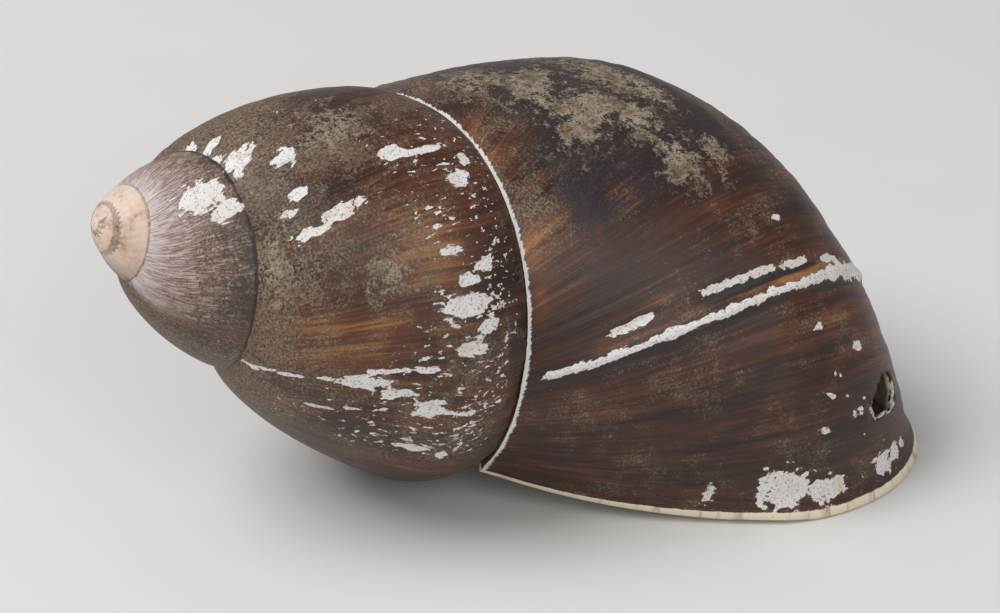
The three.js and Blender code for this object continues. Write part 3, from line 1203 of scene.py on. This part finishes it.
class StageSettings(bpy.types.PropertyGroup):
    floor_size: bpy.props.FloatProperty(
        name="Floor", description="Side of the floor", default=12.0, unit="LENGTH"
    )
    floor_colour: colour_property("Floor colour", "Pale card of the floor", "#dddbd8")
    key_power: bpy.props.FloatProperty(
        name="Key light", description="Power of the light overhead", default=12.5, unit="POWER"
    )
    fill_power: bpy.props.FloatProperty(
        name="Fill light", description="Power of the light in front", default=4.6, unit="POWER"
    )
    sky: bpy.props.FloatProperty(
        name="Room light", description="Strength of the light from all round", default=0.38
    )
    camera_place: bpy.props.FloatVectorProperty(
        name="Camera",
        description="Place of the camera",
        default=(-0.23305, -0.42807, 0.31629),
        subtype="TRANSLATION",
    )
    camera_lens: bpy.props.FloatProperty(
        name="Lens", description="Focal length in millimetres", default=122.4
    )


class SHELL_OT_grow(bpy.types.Operator):
    """Grows the shell ring by ring and gives it its skin and enamel"""

    bl_idname = "shell.grow"
    bl_label = "Grow shell"

    def execute(self, context):
        sizes = context.scene.shell_sizes
        colours = context.scene.shell_colours
        skin, growth = grow_shell(sizes)
        carve(skin)
        break_wall(skin)
        add_bulb(skin, growth, sizes)
        bm = skin.bm
        bmesh.ops.recalc_face_normals(bm, faces=bm.faces)
        for face in bm.faces:
            face.smooth = True
            sides = [vert[skin.side] for vert in face.verts]
            face.material_index = 1 if RIM in sides or min(sides) == INNER else 0
        mesh = bpy.data.meshes.new("land_snail_shell")
        bm.to_mesh(mesh)
        bm.free()
        mesh.materials.append(skin_material(colours))
        mesh.materials.append(enamel_material(colours))
        piece = bpy.data.objects.new("land_snail_shell", mesh)
        context.scene.collection.objects.link(piece)
        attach(piece, "root")
        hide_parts("shell")
        return {"FINISHED"}


# Lights, in metres, and the camera's own right and up.
KEY_SIZE, KEY_PLACE = 0.75, (-0.7, 0.15, 1.1)
FILL_SIZE, FILL_PLACE = 1.0, (0.0, -1.1, 0.7)
CAMERA_RIGHT = (0.8775, -0.4796, 0.0)
CAMERA_UP = (0.2434, 0.4454, 0.8616)


class SHELL_OT_stage(bpy.types.Operator):
    """Lays the pale floor and sets the soft lights and the camera"""

    bl_idname = "shell.stage"
    bl_label = "Set stage"

    def execute(self, context):
        settings = context.scene.shell_stage
        bm = bmesh.new()
        bmesh.ops.create_grid(bm, x_segments=1, y_segments=1, size=settings.floor_size / 2)
        mesh = bpy.data.meshes.new("floor")
        bm.to_mesh(mesh)
        bm.free()
        floor = bpy.data.objects.new("floor", mesh)
        context.scene.collection.objects.link(floor)
        mesh.materials.append(paper_material(settings))

        world = bpy.data.worlds.new("room")
        world.use_nodes = True
        back = world.node_tree.nodes["Background"]
        back.inputs["Color"].default_value = opaque(linear("#f3f3f5"))
        back.inputs["Strength"].default_value = settings.sky
        context.scene.world = world
        add_light("key", settings.key_power, KEY_SIZE, KEY_PLACE)
        add_light("fill", settings.fill_power, FILL_SIZE, FILL_PLACE)

        data = bpy.data.cameras.new("camera")
        data.lens = settings.camera_lens
        data.sensor_width = 36.0
        data.clip_start, data.clip_end = 0.01, 60.0
        camera = bpy.data.objects.new("camera", data)
        right = Vector(CAMERA_RIGHT).normalized()
        up = Vector(CAMERA_UP).normalized()
        turn = Matrix((right, up, right.cross(up))).transposed()
        camera.matrix_world = Matrix.Translation(settings.camera_place) @ turn.to_4x4()
        context.scene.collection.objects.link(camera)
        context.scene.camera = camera
        context.scene.view_settings.view_transform = "Standard"
        return {"FINISHED"}


def paper_material(settings):
    """Matt card of the backdrop: pale, even and without gloss."""
    mat, tree, shader = blank_material("card_matt_pressed", 1.5)
    place = node(tree, "ShaderNodeTexCoord").outputs["Object"]
    noise_settings = {"Vector": place, "Scale": per_metre(30.0), "Detail": 2.0}
    fibres = node(tree, "ShaderNodeTexNoise", noise_settings).outputs["Fac"]
    span = {"Value": fibres, "To Min": 0.97, "To Max": 1.0}
    shade = node(tree, "ShaderNodeMapRange", span).outputs[0]
    shaded = {0: settings.floor_colour[:], "Scale": shade}
    colour = node(tree, "ShaderNodeVectorMath", shaded, operation="SCALE").outputs[0]
    tree.links.new(colour, shader.inputs["Base Color"])
    shader.inputs["Roughness"].default_value = 0.85
    return mat


def add_light(name, power, size, place):
    """A round area light that looks at the shell's middle."""
    data = bpy.data.lights.new(name, "AREA")
    data.shape = "DISK"
    data.size = size
    data.energy = power
    light = bpy.data.objects.new(name, data)
    light.location = place
    aim = Vector((0, 0, 0.03)) - Vector(place)
    light.rotation_euler = aim.to_track_quat("-Z", "Y").to_euler()
    bpy.context.scene.collection.objects.link(light)


class SHELL_PT_panel(bpy.types.Panel):
    bl_label = "Land snail shell"
    bl_idname = "SHELL_PT_panel"
    bl_space_type = "VIEW_3D"
    bl_region_type = "UI"
    bl_category = "Shell"

    def draw(self, context):
        scene = context.scene
        for operator, group in (
            (SHELL_OT_grow, scene.shell_sizes),
            (None, scene.shell_colours),
            (SHELL_OT_stage, scene.shell_stage),
        ):
            box = self.layout.box()
            for key in group.__annotations__:
                box.prop(group, key)
            if operator:
                box.operator(operator.bl_idname)


CLASSES = (
    ShellSizes,
    ShellColours,
    StageSettings,
    SHELL_OT_grow,
    SHELL_OT_stage,
    SHELL_PT_panel,
)


def register():
    for cls in CLASSES:
        bpy.utils.register_class(cls)
    bpy.types.Scene.shell_sizes = bpy.props.PointerProperty(type=ShellSizes)
    bpy.types.Scene.shell_colours = bpy.props.PointerProperty(type=ShellColours)
    bpy.types.Scene.shell_stage = bpy.props.PointerProperty(type=StageSettings)


def unregister():
    del bpy.types.Scene.shell_stage
    del bpy.types.Scene.shell_colours
    del bpy.types.Scene.shell_sizes
    for cls in reversed(CLASSES):
        bpy.utils.unregister_class(cls)


def main():
    """Builds the shell and its stage."""
    register()
    bpy.ops.shell.grow()
    bpy.ops.shell.stage()
    bpy.context.view_layer.update()


if __name__ == "__main__":
    main()
